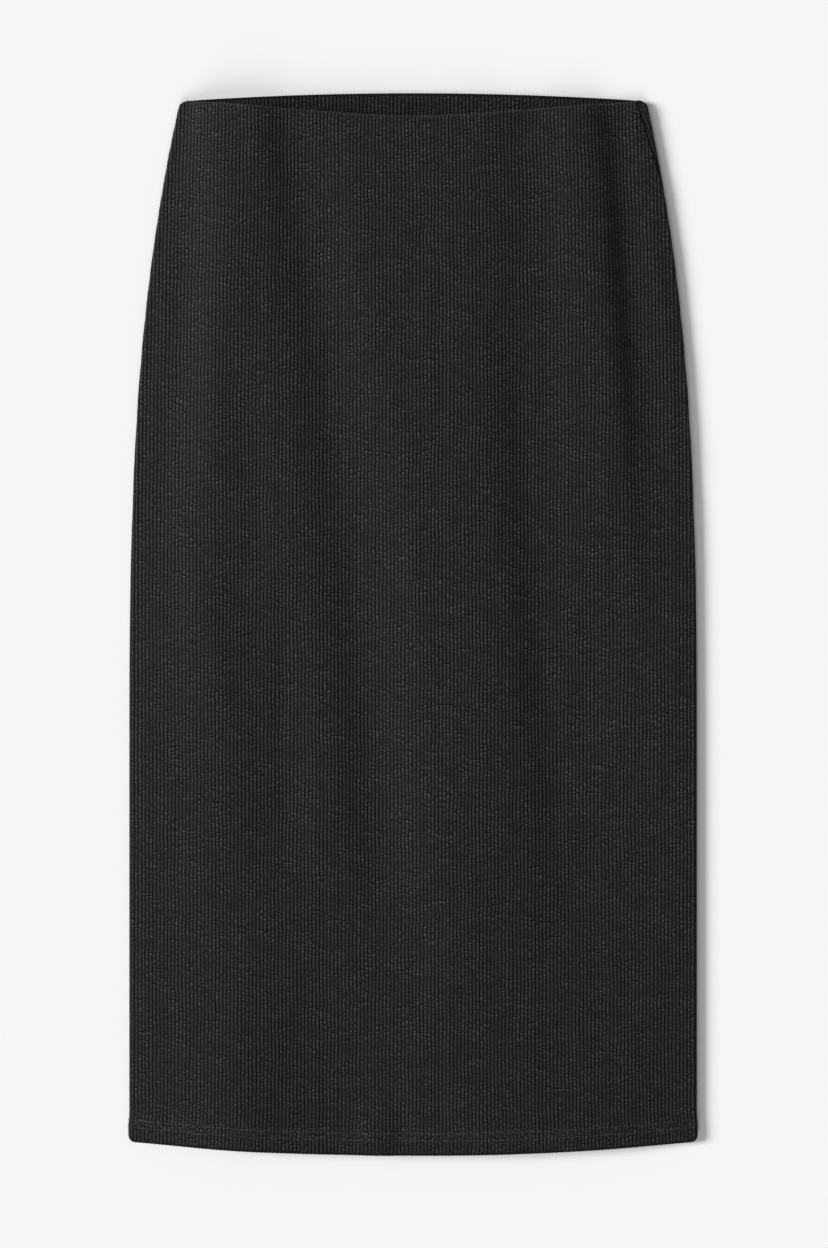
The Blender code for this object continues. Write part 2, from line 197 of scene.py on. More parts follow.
FOLD_COLUMNS = (
    "x_top", "x_mid", "x_foot", "top", "foot", "fade_top", "fade_foot",
    "spread_left", "spread_right", "depth",
)
FOLDS = {
    "long_left_trough": (-0.100, -0.050, -0.022, -0.010, 0.66, 0.05, 0.14, 0.014, 0.020, -0.0032),
    "left_waist_ridge": (-0.124, -0.110, -0.114, -0.010, 0.12, 0.02, 0.14, 0.014, 0.012, 0.0028),
    "left_hip_trough": (-0.135, -0.118, -0.114, 0.120, 0.65, 0.12, 0.12, 0.016, 0.018, -0.0016),
    "left_thigh_trough": (-0.080, -0.096, -0.078, 0.330, 0.63, 0.12, 0.12, 0.010, 0.016, -0.0016),
    "centre_ridge": (-0.054, 0.010, 0.026, 0.050, 0.75, 0.10, 0.06, 0.014, 0.044, 0.0008),
    "right_waist_trough": (0.088, 0.092, 0.098, -0.010, 0.23, 0.02, 0.10, 0.018, 0.018, -0.0030),
    "long_right_trough": (0.074, 0.096, 0.108, 0.120, 0.62, 0.12, 0.20, 0.014, 0.042, -0.0048),
    "right_hip_trough": (0.132, 0.145, 0.144, -0.080, 0.52, 0.02, 0.15, 0.040, 0.014, -0.0018),
    "left_hem_trough": (-0.072, -0.074, -0.080, 0.610, 0.88, 0.15, 0.02, 0.030, 0.042, -0.0030),
    "left_hem_dip": (-0.016, -0.048, -0.044, 0.700, 0.84, 0.10, 0.02, 0.010, 0.016, -0.0014),
    "centre_hem_dip": (-0.010, -0.006, -0.014, 0.730, 0.85, 0.05, 0.02, 0.010, 0.044, -0.0030),
    "right_hem_trough": (0.114, 0.132, 0.106, 0.520, 0.85, 0.12, 0.02, 0.044, 0.024, -0.0022),
    "low_right_trough": (0.124, 0.120, 0.142, 0.430, 0.69, 0.12, 0.12, 0.022, 0.036, -0.0024),
    "low_centre_ridge": (-0.004, 0.020, 0.038, 0.520, 0.67, 0.10, 0.08, 0.028, 0.038, 0.0018),
}
print(len(FOLDS), "folds and", len(SECTIONS), "sections")

# %% The height of the front
def section_value(column, below):
    rows = np.array(SECTIONS)
    knots = rows[:, 0]
    values = rows[:, SECTION_COLUMNS.index(column)]
    slopes = np.gradient(values, knots)
    below = np.clip(below, knots[0], knots[-1])
    k = np.clip(np.searchsorted(knots, below) - 1, 0, len(knots) - 2)
    gap = knots[k + 1] - knots[k]
    t = (below - knots[k]) / gap
    return (
        (2 * t**3 - 3 * t**2 + 1) * values[k]
        + (t**3 - 2 * t**2 + t) * gap * slopes[k]
        + (3 * t**2 - 2 * t**3) * values[k + 1]
        + (t**3 - t**2) * gap * slopes[k + 1]
    )


def fold_height(fold, x, below):
    size = dict(zip(FOLD_COLUMNS, fold))
    share = (below - size["top"]) / (size["foot"] - size["top"])
    bend = 4.0 * share * (1.0 - share) * (size["x_mid"] - (size["x_top"] + size["x_foot"]) / 2)
    off = x - (size["x_top"] + (size["x_foot"] - size["x_top"]) * share + bend)
    spread = np.where(off < 0.0, size["spread_left"], size["spread_right"])
    begins = smooth((below - size["top"]) / size["fade_top"])
    ends = smooth((size["foot"] - below) / size["fade_foot"])
    return size["depth"] * begins * ends * np.exp(-0.5 * (off / spread) ** 2)


def loft(x, below):
    left = np.tanh((x - section_value("left", below)) / section_value("rise_left", below))
    right = np.tanh((section_value("right", below) - x) / section_value("rise_right", below))
    body = section_value("crown", below) * (1.0 + left) * (1.0 + right) / 4.0
    for fold in FOLDS.values():
        body = body + fold_height(fold, x, below)
    inset = half_width(below) - SIDE_RADIUS - np.abs(x)
    settled = smooth(inset / section_value("settle", below))
    return FLANGE * smooth(inset / FLANGE_REACH) + body * settled


# %% [markdown]
# ## The cloth as one surface
#
# Knitted cloth keeps its width along the cloth when it folds, so each section is measured along
# its own curve and divided into even steps. A place is then found from its two lengths, across
# and below, and a second function moves that place out along the surface's normal. With these two
# every layer of the skirt is made: the ribs, the inside, the turned edges and the stitches.

# %% A place on the skirt, and a layer above or below it
SECTION_COUNT = 420
PLACES_ACROSS = 901
PLACES_ROUND_SIDE = 25
NORMAL_STEP = 0.0004


def lay_sections():
    """x and z of the front's face from side to side, in even steps along each section."""
    below = np.linspace(-2 * BACK_RISE, SIDE_LENGTH + 2 * HEM_BOW, SECTION_COUNT)[:, None]
    flat = half_width(below) - SIDE_RADIUS
    turn = np.linspace(0.0, math.pi / 2, PLACES_ROUND_SIDE)[None, :]
    side_x = flat + SIDE_RADIUS * np.cos(turn)
    side_z = SIDE_RADIUS + SIDE_RADIUS * np.sin(turn) + 0.0 * flat
    top_x = flat * np.linspace(-1.0, 1.0, PLACES_ACROSS)[None, 1:-1]
    top_z = FRONT_Z + loft(top_x, below)
    x = np.concatenate([-side_x, top_x, side_x[:, ::-1]], axis=1)
    z = np.concatenate([side_z, top_z, side_z[:, ::-1]], axis=1)
    steps = np.hypot(np.diff(x, axis=1), np.diff(z, axis=1))
    along = np.concatenate([0.0 * flat, np.cumsum(steps, axis=1)], axis=1)
    even = np.linspace(0.0, 1.0, PLACES_ACROSS)
    laid = [
        (np.interp(even, a / a[-1], row_x), np.interp(even, a / a[-1], row_z))
        for a, row_x, row_z in zip(along, x, z)
    ]
    return below[:, 0], np.array(laid)


LAID_BELOW, LAID = lay_sections()


def skirt_point(across, below):
    """The point of the skirt's face at this place."""
    across, below = np.broadcast_arrays(across, below)
    side = np.sign(across)
    over = np.clip(np.abs(across) - cut_half(below), 0.0, None)

    column = (np.clip(across / cut_half(below), -1.0, 1.0) + 1.0) / 2.0 * (LAID.shape[2] - 1)
    row = (below - LAID_BELOW[0]) / (LAID_BELOW[1] - LAID_BELOW[0])
    r = np.clip(np.floor(row).astype(int), 0, len(LAID) - 2)
    c = np.clip(np.floor(column).astype(int), 0, LAID.shape[2] - 2)
    fr, fc = row - r, column - c
    front_x, front_z = (
        (1 - fr) * ((1 - fc) * LAID[r, axis, c] + fc * LAID[r, axis, c + 1])
        + fr * ((1 - fc) * LAID[r + 1, axis, c] + fc * LAID[r + 1, axis, c + 1])
        for axis in (0, 1)
    )
    rolled = 1.0 - np.clip((below - front_waist(front_x)) / WAIST_ROLL_REACH, 0.0, 1.0)
    front_z = front_z - WAIST_ROLL * rolled**2 * smooth((front_z - SIDE_RADIUS) / FLANGE)

    angle = np.minimum(over / SIDE_RADIUS, math.pi / 2)
    flat = half_width(below) - SIDE_RADIUS
    past = np.clip(over - QUARTER, 0.0, None)
    x = np.where(over > 0.0, side * (flat + SIDE_RADIUS * np.cos(angle) - past), front_x)
    z = np.where(over > 0.0, SIDE_RADIUS * (1.0 - np.sin(angle)), front_z)
    return np.stack([x, TOP_Y - below, z], axis=-1)


def skirt_layer(across, below, out):
    """The point that lies this far out of the face at this place."""
    across, below = np.broadcast_arrays(across, below)
    run = skirt_point(across + NORMAL_STEP, below) - skirt_point(across - NORMAL_STEP, below)
    rise = skirt_point(across, below - NORMAL_STEP) - skirt_point(across, below + NORMAL_STEP)
    normal = np.cross(run, rise)
    normal /= np.linalg.norm(normal, axis=-1, keepdims=True)
    return skirt_point(across, below) + normal * np.broadcast_to(out, across.shape)[..., None]


print(f"the front lies up to {1000 * LAID[:, 1].max():.1f} mm above the floor")

# %% [markdown]
# ## Ribs
#
# Rib jersey stands in long wales with a groove between them, here 2.85 mm apart. They catch the
# light one by one, so they are modelled and not only drawn. Each wale gets five columns of points.
# No two wales of a knit stand alike, so each has its own height, and all of them drift a little
# from side to side. The drift, like the small puckers of the cloth, is a sum of slow waves drawn
# once from a fixed seed.

# %% Wales, drift and puckers
RIB_PROFILE = ((0.00, 0.00), (0.20, 0.75), (0.38, 1.00), (0.62, 1.00), (0.80, 0.75))
RIB_VARIATION = 0.12
rng = np.random.default_rng(11)


def draw_waves(count, longest, shortest):
    """Directions, wave numbers and phases of slow waves over the cloth."""
    length = np.geomspace(longest, shortest, count)
    angle = rng.uniform(0.0, math.pi, count)
    phase = rng.uniform(0.0, 2 * math.pi, count)
    return np.stack([np.cos(angle) / length, np.sin(angle) / length, phase], axis=1)


def waves(drawn, across, below):
    """Their sum at each place, with a spread of about 1."""
    total = 0.0
    for kx, ky, phase in drawn:
        total = total + np.sin(2 * math.pi * (kx * across + ky * below) + phase)
    return total * math.sqrt(2.0 / len(drawn))


PUCKERS = draw_waves(14, 0.070, 0.020)
DRIFT = draw_waves(12, 0.120, 0.018)


def rib_columns(ribs, start):
    """Where each column lies along the cloth, and how far up its wale it stands."""
    place = [start + (rib + share) * RIB_PITCH for rib in range(ribs) for share, _ in RIB_PROFILE]
    vary = 1.0 + RIB_VARIATION * rng.uniform(-1.0, 1.0, ribs)
    height = [vary[rib] * up for rib in range(ribs) for _, up in RIB_PROFILE]
    return np.array(place + [start + ribs * RIB_PITCH]), np.array(height + [0.0])


front_columns, front_heights = rib_columns(RIBS_AT_HEM, -CUT_HEM)
BACK_RIBS = 2 * math.ceil((QUARTER + half_width(SIDE_LENGTH)) / RIB_PITCH)
back_columns, back_heights = rib_columns(BACK_RIBS, -BACK_RIBS * RIB_PITCH / 2)
print(f"{RIBS_AT_HEM} wales in the front, {BACK_RIBS} in the back")

# %% [markdown]
# ## One shell for each half
#
# A real panel is one piece of cloth that turns in at the waist and up at the hem. The mesh copies
# that. Its rows form a closed loop: down the outside, round the fold of the hem, up inside over
# the turned hem, the plain inside and the waist casing, and round the fold of the waist. So the
# folded edges are round and there is no open edge anywhere.
#
# Each row is written as five numbers. "share" says how far down it follows the hem's curve rather
# than the waist's, "offset" moves it down, "turn" is its angle round a fold (90 is the outside,
# -90 the turned-in cloth), "level" is 1 where the cloth is double and 0 where it is single, and
# "press" is how much of the wales' height is left there.

# %% The rows of a panel, in order round the loop
STITCH_ROWS = (0.0165, 0.0110)
STITCH_SINK = 0.0002
EDGE_ROWS = (1.2, 1.6, 2.2, 3.2, 4.7, 7.2, 11.2)
HEM_ROWS = (
    21.0, 18.5, 17.3, 16.9, 16.5, 16.1, 15.5, 13.75, 12.0, 11.4, 11.0, 10.6, 9.8, 6.5, 3.8, 2.0,
)
FOLD_TURNS = (60.0, 30.0)
STITCHED = 0.3
PULL = 0.00055
PULL_REACH = 0.0035


def rows_between(longest, sideways):
    """Shares of the way down, closer together where the side curves in fastest."""
    below = np.linspace(0.0, SIDE_LENGTH, 800)
    pace = np.hypot(1.0 / longest, np.gradient(half_width(below), below) / sideways)
    count = np.concatenate([[0.0], np.cumsum((pace[1:] + pace[:-1]) / 2 * np.diff(below))])
    rows = math.ceil(count[-1])
    return np.interp(np.arange(rows + 1) / rows, count / count[-1], below) / SIDE_LENGTH


def panel_rows(outside, inside):
    rows = [(0.0, 0.0, 0.0, 1, 0.35)]
    rows += [(0.0, 0.0, turn, 1, 0.45) for turn in reversed(FOLD_TURNS)]
    rows += [(0.0, d * MM, 90.0, 1, 0.4 + 0.6 * min(1.0, d / 3.5)) for d in EDGE_ROWS]
    first, last = EDGE_ROWS[-1] * MM, -HEM_ROWS[0] * MM
    for share in outside[1:-1]:
        rows.append((share, (1 - share) * first + share * last, 90.0, 1, 1.0))
    for d in HEM_ROWS:
        near = min(abs(d * MM - place) for place in STITCH_ROWS)
        between = STITCH_ROWS[1] < d * MM < STITCH_ROWS[0]
        press = STITCHED if near < 1e-6 else 0.55 if between or near < 1.1 * MM else 0.95
        rows.append((1.0, -d * MM, 90.0, 1, press))
    rows += [(1.0, 0.0, turn, 1, 0.5) for turn in FOLD_TURNS]
    rows += [(1.0, 0.0, 0.0, 1, 0.4)]
    hem_edge = len(rows) - 1
    rows += [(1.0, 0.0, -turn, 1, 0.4) for turn in reversed(FOLD_TURNS)]
    rows += [(1.0, -d * HEM_DEPTH, -90.0, 1, 0.8) for d in (0.1, 0.5, 0.99)]
    for share in inside[::-1]:
        offset = (1 - share) * 1.01 * CASING_DEPTH - share * 1.01 * HEM_DEPTH
        rows.append((share, offset, -90.0, 0, 0.35))
    rows += [(0.0, d * CASING_DEPTH, -90.0, 1, 0.9) for d in (0.99, 0.5, 0.06)]
    rows += [(0.0, 0.0, -turn, 1, 0.4) for turn in FOLD_TURNS]
    return np.array(rows).T, hem_edge


inside_shares = rows_between(longest=0.11, sideways=0.006)
front_rows, front_hem_edge = panel_rows(rows_between(longest=0.013, sideways=0.0013), inside_shares)
back_rows, back_hem_edge = panel_rows(rows_between(longest=0.030, sideways=0.0014), inside_shares)
print(f"front loop of {front_rows.shape[1]} rows, back loop of {back_rows.shape[1]}")

# %% [markdown]
# Columns that reach a side seam end there, at whatever height that happens. Every row is clamped
# to the seam, and the points that fall together on it are made one. The seam then follows its
# curve exactly, while the wales run into it as they do in the sewn cloth.

# %% Where every point of a panel lies
CORRECTIONS = 14
OUT_OF_FOLD = 89.0
DOUBLED_FROM = 0.005
DOUBLED_OVER = 0.010
FREE_REACH = 0.030
SEAM_SINK = 0.00045
SEAM_SINK_REACH = 0.0011
PUCKER_HEIGHT = 0.00009
DRIFT_WIDTH = 0.00022


def flat_reach(below):
    return half_width(below) - SIDE_RADIUS


def place_panel(columns, heights, rows, top, is_back):
    """across, below, out, the cloth's own coordinate and the distances to a fold and to a seam."""
    share, offset, turn, level, press = (value[:, None] for value in rows)
    sine, cosine = np.sin(np.radians(turn)), np.cos(np.radians(turn))
    raised = RIB_HEIGHT * press * heights[None, :]
    in_fold = np.abs(turn) < OUT_OF_FOLD
    below = np.zeros((rows.shape[1], len(columns))) + share * SIDE_LENGTH
    for _ in range(CORRECTIONS):
        if is_back:
            reach = QUARTER + flat_reach(below)
            cloth = np.clip(
                columns[None, :], SEAM_GAP / 2 - reach, reach + seam_turn(below) - SEAM_GAP / 2
            )
            side = np.where(cloth < 0.0, -1.0, 1.0)
            across = side * (cut_half(below) + reach - np.abs(cloth))
            to_seam = np.where(side > 0, reach + seam_turn(below), reach) - np.abs(cloth)
        else:
            half = cut_half(below) - SEAM_GAP / 2
            cloth = np.clip(columns[None, :], -half, half - seam_turn(below))
            across = cloth
            to_seam = np.where(cloth > 0, half - seam_turn(below), half) - np.abs(cloth)
        over = np.clip(np.abs(across) - cut_half(below), 0.0, QUARTER)
        inset = np.abs(np.abs(across) - cut_half(below)) - QUARTER
        doubled = level * smooth((inset - DOUBLED_FROM) / DOUBLED_OVER)
        depth = WALL + (TURNED_THICKNESS - WALL) * doubled
        outer = -RIB_HEIGHT * np.sin(over / SIDE_RADIUS) * (1.0 + RIB_VARIATION)
        radius = (depth + outer) / 2
        x = skirt_point(across, below)[..., 0]
        edge = (1.0 - share) * top(x) + share * hem(x) + offset
        below = edge + (1.0 - 2.0 * share) * (radius - (radius + raised) * cosine) * in_fold
    out = outer - radius + (radius + raised) * sine
    sunk = SEAM_SINK * (1.0 - np.clip(to_seam / SEAM_SINK_REACH, 0.0, 1.0)) ** 2
    out = out - np.where(turn > 0, sunk, 0.0)
    stitched = np.isclose(press, STITCHED)
    out = out - np.where(stitched, STITCH_SINK, 0.0)
    to_fold = np.abs(hem(x) - below)
    if is_back:
        to_fold = np.minimum(to_fold, np.abs(below - top(x)))
    return across, below, out, cloth, np.stack([to_fold, to_seam], axis=-1)


def settle_cloth(across, below, out):
    """Adds puckers to the front, where it lies free, and lets its wales drift."""
    free = smooth(-(np.abs(across) - cut_half(below)) / FREE_REACH)
    wander = DRIFT_WIDTH * waves(DRIFT, across, below) * free
    return across + wander, out + PUCKER_HEIGHT * waves(PUCKERS, across, below) * free


def pull_wales(across, rows):
    """Shifts whole wales at the hem's stitching, one way at the upper row and back at the lower."""
    share, offset, turn = (value[:, None] for value in rows[:3])
    wales = across.shape[1] // len(RIB_PROFILE) + 1
    pulled = np.repeat(rng.uniform(-1.0, 1.0, wales), len(RIB_PROFILE))[: across.shape[1]]
    near = [np.exp(-(((offset + place) / (PULL_REACH / 2)) ** 2)) for place in STITCH_ROWS]
    return across + PULL * pulled * (near[0] - near[1]) * (share == 1.0) * (turn > OUT_OF_FOLD)


# %% [markdown]
# The grid becomes a mesh in one pass: quads between neighbouring rows and columns, triangles
# where a column ends on a seam, and a narrow strip that closes the cloth's thickness along each
# side seam. Each point keeps its place in the cloth as a UV, in metres, so that the knit of the
# material follows every fold.

# %% From points to a closed shell
def close_side(outer, inner, outer_below, inner_below):
    """Triangles between the outer and inner edges of one side, matched by how far down they are."""
    faces, i, j = [], 0, 0
    while i < len(outer) - 1 or j < len(inner) - 1:
        take_outer = j == len(inner) - 1 or (
            i < len(outer) - 1 and outer_below[i + 1] < inner_below[j + 1]
        )
        if take_outer:
            faces.append((outer[i], outer[i + 1], inner[j]))
            i += 1
        else:
            faces.append((outer[i], inner[j + 1], inner[j]))
            j += 1
    return faces


def shell(name, points, cloth, below, edges, hem_edge, material):
    fresh = np.ones(cloth.shape, bool)
    fresh[:, 1:] = np.diff(cloth, axis=1) > 1e-8
    number = (np.cumsum(fresh.ravel()) - 1).reshape(cloth.shape)
    around = np.roll(number, -1, axis=0)
    quads = np.stack([number[:, :-1], number[:, 1:], around[:, 1:], around[:, :-1]], axis=-1)
    faces = []
    for quad in quads.reshape(-1, 4).tolist():
        ring = [v for k, v in enumerate(quad) if v != quad[k - 1]]
        if len(ring) > 2:
            faces.append(ring)
    outer, inner = slice(0, hem_edge + 1), [0, *range(len(number) - 1, hem_edge - 1, -1)]
    for column in (0, -1):
        faces += close_side(
            number[outer, column].tolist(), number[inner, column].tolist(),
            below[outer, column], below[inner, column],
        )
    faces = [face for face in faces if len(set(face)) == len(face)]

    data = bpy.data.meshes.new(name)
    data.from_pydata(points[fresh].tolist(), [], faces)
    mesh = bmesh.new()
    mesh.from_mesh(data)
    bmesh.ops.recalc_face_normals(mesh, faces=mesh.faces)
    open_edges = sum(not edge.is_manifold for edge in mesh.edges)
    mesh.to_mesh(data)
    mesh.free()

    place = np.stack([cloth[fresh], below[fresh]], axis=1)
    corners = np.zeros(len(data.loops), int)
    data.loops.foreach_get("vertex_index", corners)
    data.uv_layers.new(name="cloth").data.foreach_set("uv", place[corners].ravel())
    data.uv_layers.new(name="edges").data.foreach_set("uv", edges[fresh][corners].ravel())
    data.shade_smooth()
    data.set_sharp_from_angle(angle=math.radians(70))
    data.materials.append(material)
    piece = bpy.data.objects.new(name, data)
    bpy.context.scene.collection.objects.link(piece)
    triangles = sum(len(p.vertices) - 2 for p in data.polygons)
    print(f"{name}: {triangles} triangles, {open_edges} open edges")
    return piece


# %% [markdown]
# ## Materials
#
# The cloth is a rib jersey in charcoal viscose and elastane, with some lighter fibre spun into
# the yarn. That gives the eye three things: wales with dark grooves between them, small light
# flecks along the courses where the lighter fibre comes to the front, and a faint cloudiness
# some 14 mm across. The grooves' dark colour is painted shade over their real relief, and some
# light flecks are painted highlights with a painted shadow above them. It is matt, with a little
# fuzz that lightens it at a low angle.
#
# One function turns hex colours to linear light, and one adds a node with its settings and links.

# %% Colours and nodes
def linear(code):
    """An sRGB hex colour as linear RGBA."""
    parts = [int(code[i : i + 2], 16) / 255 for i in (1, 3, 5)]
    return (*[c / 12.92 if c <= 0.04045 else ((c + 0.055) / 1.055) ** 2.4 for c in parts], 1.0)


def add_node(tree, kind, inputs=None, **settings):
    """Adds a node. inputs maps a socket's name or number to a value or to another output."""
    node = tree.nodes.new(kind)
    for name, value in settings.items():
        setattr(node, name, value)
    for key, value in (inputs or {}).items():
        if isinstance(value, bpy.types.Node):
            value = value.outputs[0]
        if isinstance(value, bpy.types.NodeSocket):
            tree.links.new(value, node.inputs[key])
        else:
            node.inputs[key].default_value = value
    return node


def new_material(name):
    material = bpy.data.materials.new(name)
    material.use_nodes = True
    return material, material.node_tree, material.node_tree.nodes["Principled BSDF"]


print("charcoal:", [round(c, 4) for c in linear("#2b2b2c")[:3]])

# %% [markdown]
# The jersey's pattern reads the UV, which is in metres along the cloth. A wale is one rib pitch
# wide. A course, one row of stitches, is 1.1 mm high. Yarn is never even: where a thick or pale
# stretch of it runs, a few stitches side by side in one course are lighter. So the yarn's noise
# is smooth along a course and starts afresh in the next, and each stitch adds a little of its own.

# %% Rib jersey
COURSE = 0.0011
LEG_SLOPE = 1.2
STITCH_RELIEF = 0.00035
YARN_RUN = 0.0055
COURSE_LIKENESS = 2.3
SPECK_PATCH = 0.016
SPECK_RARITY = 4.5
SPECK_GAIN = 1.75
PAINTED_SPECK_SHADOW = 0.6
HEM_BAND = (0.0098, 0.0112, 0.0163, 0.0177)
# Painted shade along the folds and the side seams: how far from them it reaches.
PAINTED_FOLD_SHADE = (0.0011, 0.0024)
PAINTED_SEAM_SHADE = (0.0003, 0.0012)
WANDER_RUN = 0.011
WANDER_SIZE = 0.0004
CLOUD = 0.014
FIBRE = 0.0006
# Painted shade grows from this far down to the hem.
PAINTED_SHADE_FROM = 0.40
LOWER_PART = (SIDE_LENGTH / 2, SIDE_LENGTH - 0.1)
CREST = (0.09, 0.27)
NOISE_SPREAD = (0.28, 0.72)
WALE_SHADE = linear("#282829")
# Painted shade: the grooves get a colour far darker than the wales', for the shade that falls in
# them.
GROOVE_PAINTED_SHADE = linear("#080809")

# How much each thing lightens or darkens the cloth.
# The share of the next stitch along the wale is a painted shadow that it casts.
BY_STITCH, PAINTED_SHADE_BY_NEXT_STITCH, STITCH_LEVEL = 0.48, -0.32, 0.88
BY_YARN = (0.88, 1.12)
BY_WALE = (0.93, 1.07)
BY_CLOUD = (0.96, 1.04)
BY_FIBRE = (0.75, 1.25)
BY_PATCH = (0.2, 1.0)
HEM_PAINTED_SHADE = 0.87
# How dark the painted shade along the folds and the seams gets.
PAINTED_CREASE_SHADE = 0.15


def make_jersey():
    material, tree, shader = new_material("charcoal_rib_jersey")
    uv = add_node(tree, "ShaderNodeUVMap", uv_map="cloth")
    place = add_node(tree, "ShaderNodeSeparateXYZ", {0: uv})
    to_edges = add_node(tree, "ShaderNodeUVMap", uv_map="edges")
    to_edge = add_node(tree, "ShaderNodeSeparateXYZ", {0: to_edges})
    across, below = place.outputs[:2]
    to_fold, to_seam = to_edge.outputs[:2]

    def maths(operation, *values):
        return add_node(tree, "ShaderNodeMath", dict(enumerate(values)), operation=operation)

    def times(a, b):
        return maths("MULTIPLY", a, b)

    def step(value, low, high, ends=(0.0, 1.0)):
        """A smooth step from one end to the other, as the value goes from low to high."""
        return add_node(
            tree, "ShaderNodeMapRange", {0: value, 1: low, 2: high, 3: ends[0], 4: ends[1]},
            interpolation_type="SMOOTHSTEP",
        )

    def spots(at, detail, ends):
        """Noise over these coordinates, mapped to between the two ends."""
        noise = add_node(tree, "ShaderNodeTexNoise", {"Vector": at, "Scale": 1.0, "Detail": detail})
        return step(noise, *NOISE_SPREAD, ends)

    def even(size):
        """The place in the cloth, counted in lengths of this size."""
        scale = (1 / size,) * 3
        return add_node(tree, "ShaderNodeVectorMath", {0: uv, 1: scale}, operation="MULTIPLY")

    # The wales wander a little from side to side.
    most = WANDER_SIZE / RIB_PITCH
    wander = spots(even(WANDER_RUN), 1.0, (-most, most))
    wale = maths("MULTIPLY_ADD", across, 1 / RIB_PITCH, wander)
    course = times(below, 1 / COURSE)

    # 0 in the groove and 0.5 on top of the wale.
    ridge = maths("PINGPONG", wale, 0.5)
    # Where this is 0, in the grooves, the colour is the grooves' painted shade.
    crest = step(ridge, *CREST)

    # Each stitch is a V that opens towards the hem: its two legs start at the middle of the wale.
    leg = maths("MULTIPLY_ADD", ridge, LEG_SLOPE, course)
    loop = maths("PINGPONG", leg, 0.5)

    # One value for each wale, and one for each stitch: a wale wide and a course high.
    in_wale = maths("FLOOR", wale)
    in_course = maths("FLOOR", leg)
    cell = add_node(tree, "ShaderNodeCombineXYZ", {0: in_wale, 1: in_course})
    next_cell = add_node(
        tree, "ShaderNodeVectorMath", {0: cell, 1: (0.0, 1.0, 0.0)}, operation="ADD"
    )
    of_stitch = add_node(tree, "ShaderNodeTexWhiteNoise", {0: cell}, noise_dimensions="2D")
    of_next = add_node(tree, "ShaderNodeTexWhiteNoise", {0: next_cell}, noise_dimensions="2D")
    of_wale = add_node(tree, "ShaderNodeTexWhiteNoise", {"W": in_wale}, noise_dimensions="1D")

    # The yarn along each course.
    run, row = times(across, 1 / YARN_RUN), times(in_course, COURSE_LIKENESS)
    yarn = spots(add_node(tree, "ShaderNodeCombineXYZ", {0: run, 1: row}), 0.0, BY_YARN)

    # Most stitches differ little. A few are lighter, more in some patches than in others: partly
    # lighter fibre and partly a painted highlight where the stitch catches the light. Such a stitch
    # stands proud, so the one above it along the wale gets a painted shadow, in its colour as well
    # as in its relief.
    proud = maths("POWER", of_stitch, SPECK_RARITY)
    next_proud = maths("POWER", of_next, SPECK_RARITY)
    speck_with_painted_light = maths("MULTIPLY_ADD", next_proud, -PAINTED_SPECK_SHADOW, proud)

    # Where the hem's stitching runs there are such stitches all along. The waist has a fold too,
    # so this holds for the lower part of the skirt only.
    band = times(step(to_fold, *HEM_BAND[:2]), step(to_fold, *HEM_BAND[2:], (1.0, 0.0)))
    band = times(band, step(below, *LOWER_PART))
    patch = maths("MAXIMUM", spots(even(SPECK_PATCH), 1.0, BY_PATCH), band)
    speck_with_painted_light = times(speck_with_painted_light, times(patch, SPECK_GAIN))
    own = maths("MULTIPLY_ADD", of_stitch, BY_STITCH, speck_with_painted_light)
    # The next stitch along the wale puts a painted shadow on each stitch, by how much it stands
    # out.
    stitch = maths("ADD", own, maths("MULTIPLY_ADD", of_next, PAINTED_SHADE_BY_NEXT_STITCH, STITCH_LEVEL))

    each_wale = add_node(tree, "ShaderNodeMapRange", {0: of_wale, 3: BY_WALE[0], 4: BY_WALE[1]})
    cloud, fibre = spots(even(CLOUD), 1.0, BY_CLOUD), spots(even(FIBRE), 1.0, BY_FIBRE)
    level = times(times(times(yarn, stitch), each_wale), times(cloud, fibre))
    # Painted shade: the cloth is darker towards the hem, for the light falling off there.
    level = times(level, step(below, PAINTED_SHADE_FROM, SIDE_LENGTH, (1.0, HEM_PAINTED_SHADE)))

    # Painted shade: along the folds and the side seams the cloth is darkened, and there its wales
    # take the grooves' painted shade.
    flat = times(step(to_fold, *PAINTED_FOLD_SHADE), step(to_seam, *PAINTED_SEAM_SHADE))
    level = times(level, step(flat, 0.0, 1.0, (PAINTED_CREASE_SHADE, 1.0)))
    shade = add_node(
        tree, "ShaderNodeMix", {0: times(crest, flat), 6: GROOVE_PAINTED_SHADE, 7: WALE_SHADE},
        data_type="RGBA",
    )
    lit = add_node(tree, "ShaderNodeHueSaturation", {"Value": level, "Color": shade.outputs[2]})
    tree.links.new(lit.outputs[0], shader.inputs["Base Color"])

    relief = maths("MULTIPLY_ADD", loop, crest, speck_with_painted_light)
    bump = add_node(
        tree, "ShaderNodeBump", {"Strength": 0.9, "Distance": STITCH_RELIEF, "Height": relief}
    )
    tree.links.new(bump.outputs[0], shader.inputs["Normal"])

    shader.inputs["Roughness"].default_value = 0.9
    shader.inputs["Specular IOR Level"].default_value = 0.15
    shader.inputs["Sheen Weight"].default_value = 0.12
    shader.inputs["Sheen Roughness"].default_value = 0.5
    return material


jersey = make_jersey()
print(jersey.name, "with", len(jersey.node_tree.nodes), "nodes")

# %% [markdown]
# ## The front and the back
#
# Both panels come from the same rows. The back's wales are counted from its own centre, and its
# outside is sunk by the height of a wale, so that the crests lie on the floor and nothing goes
# through it.

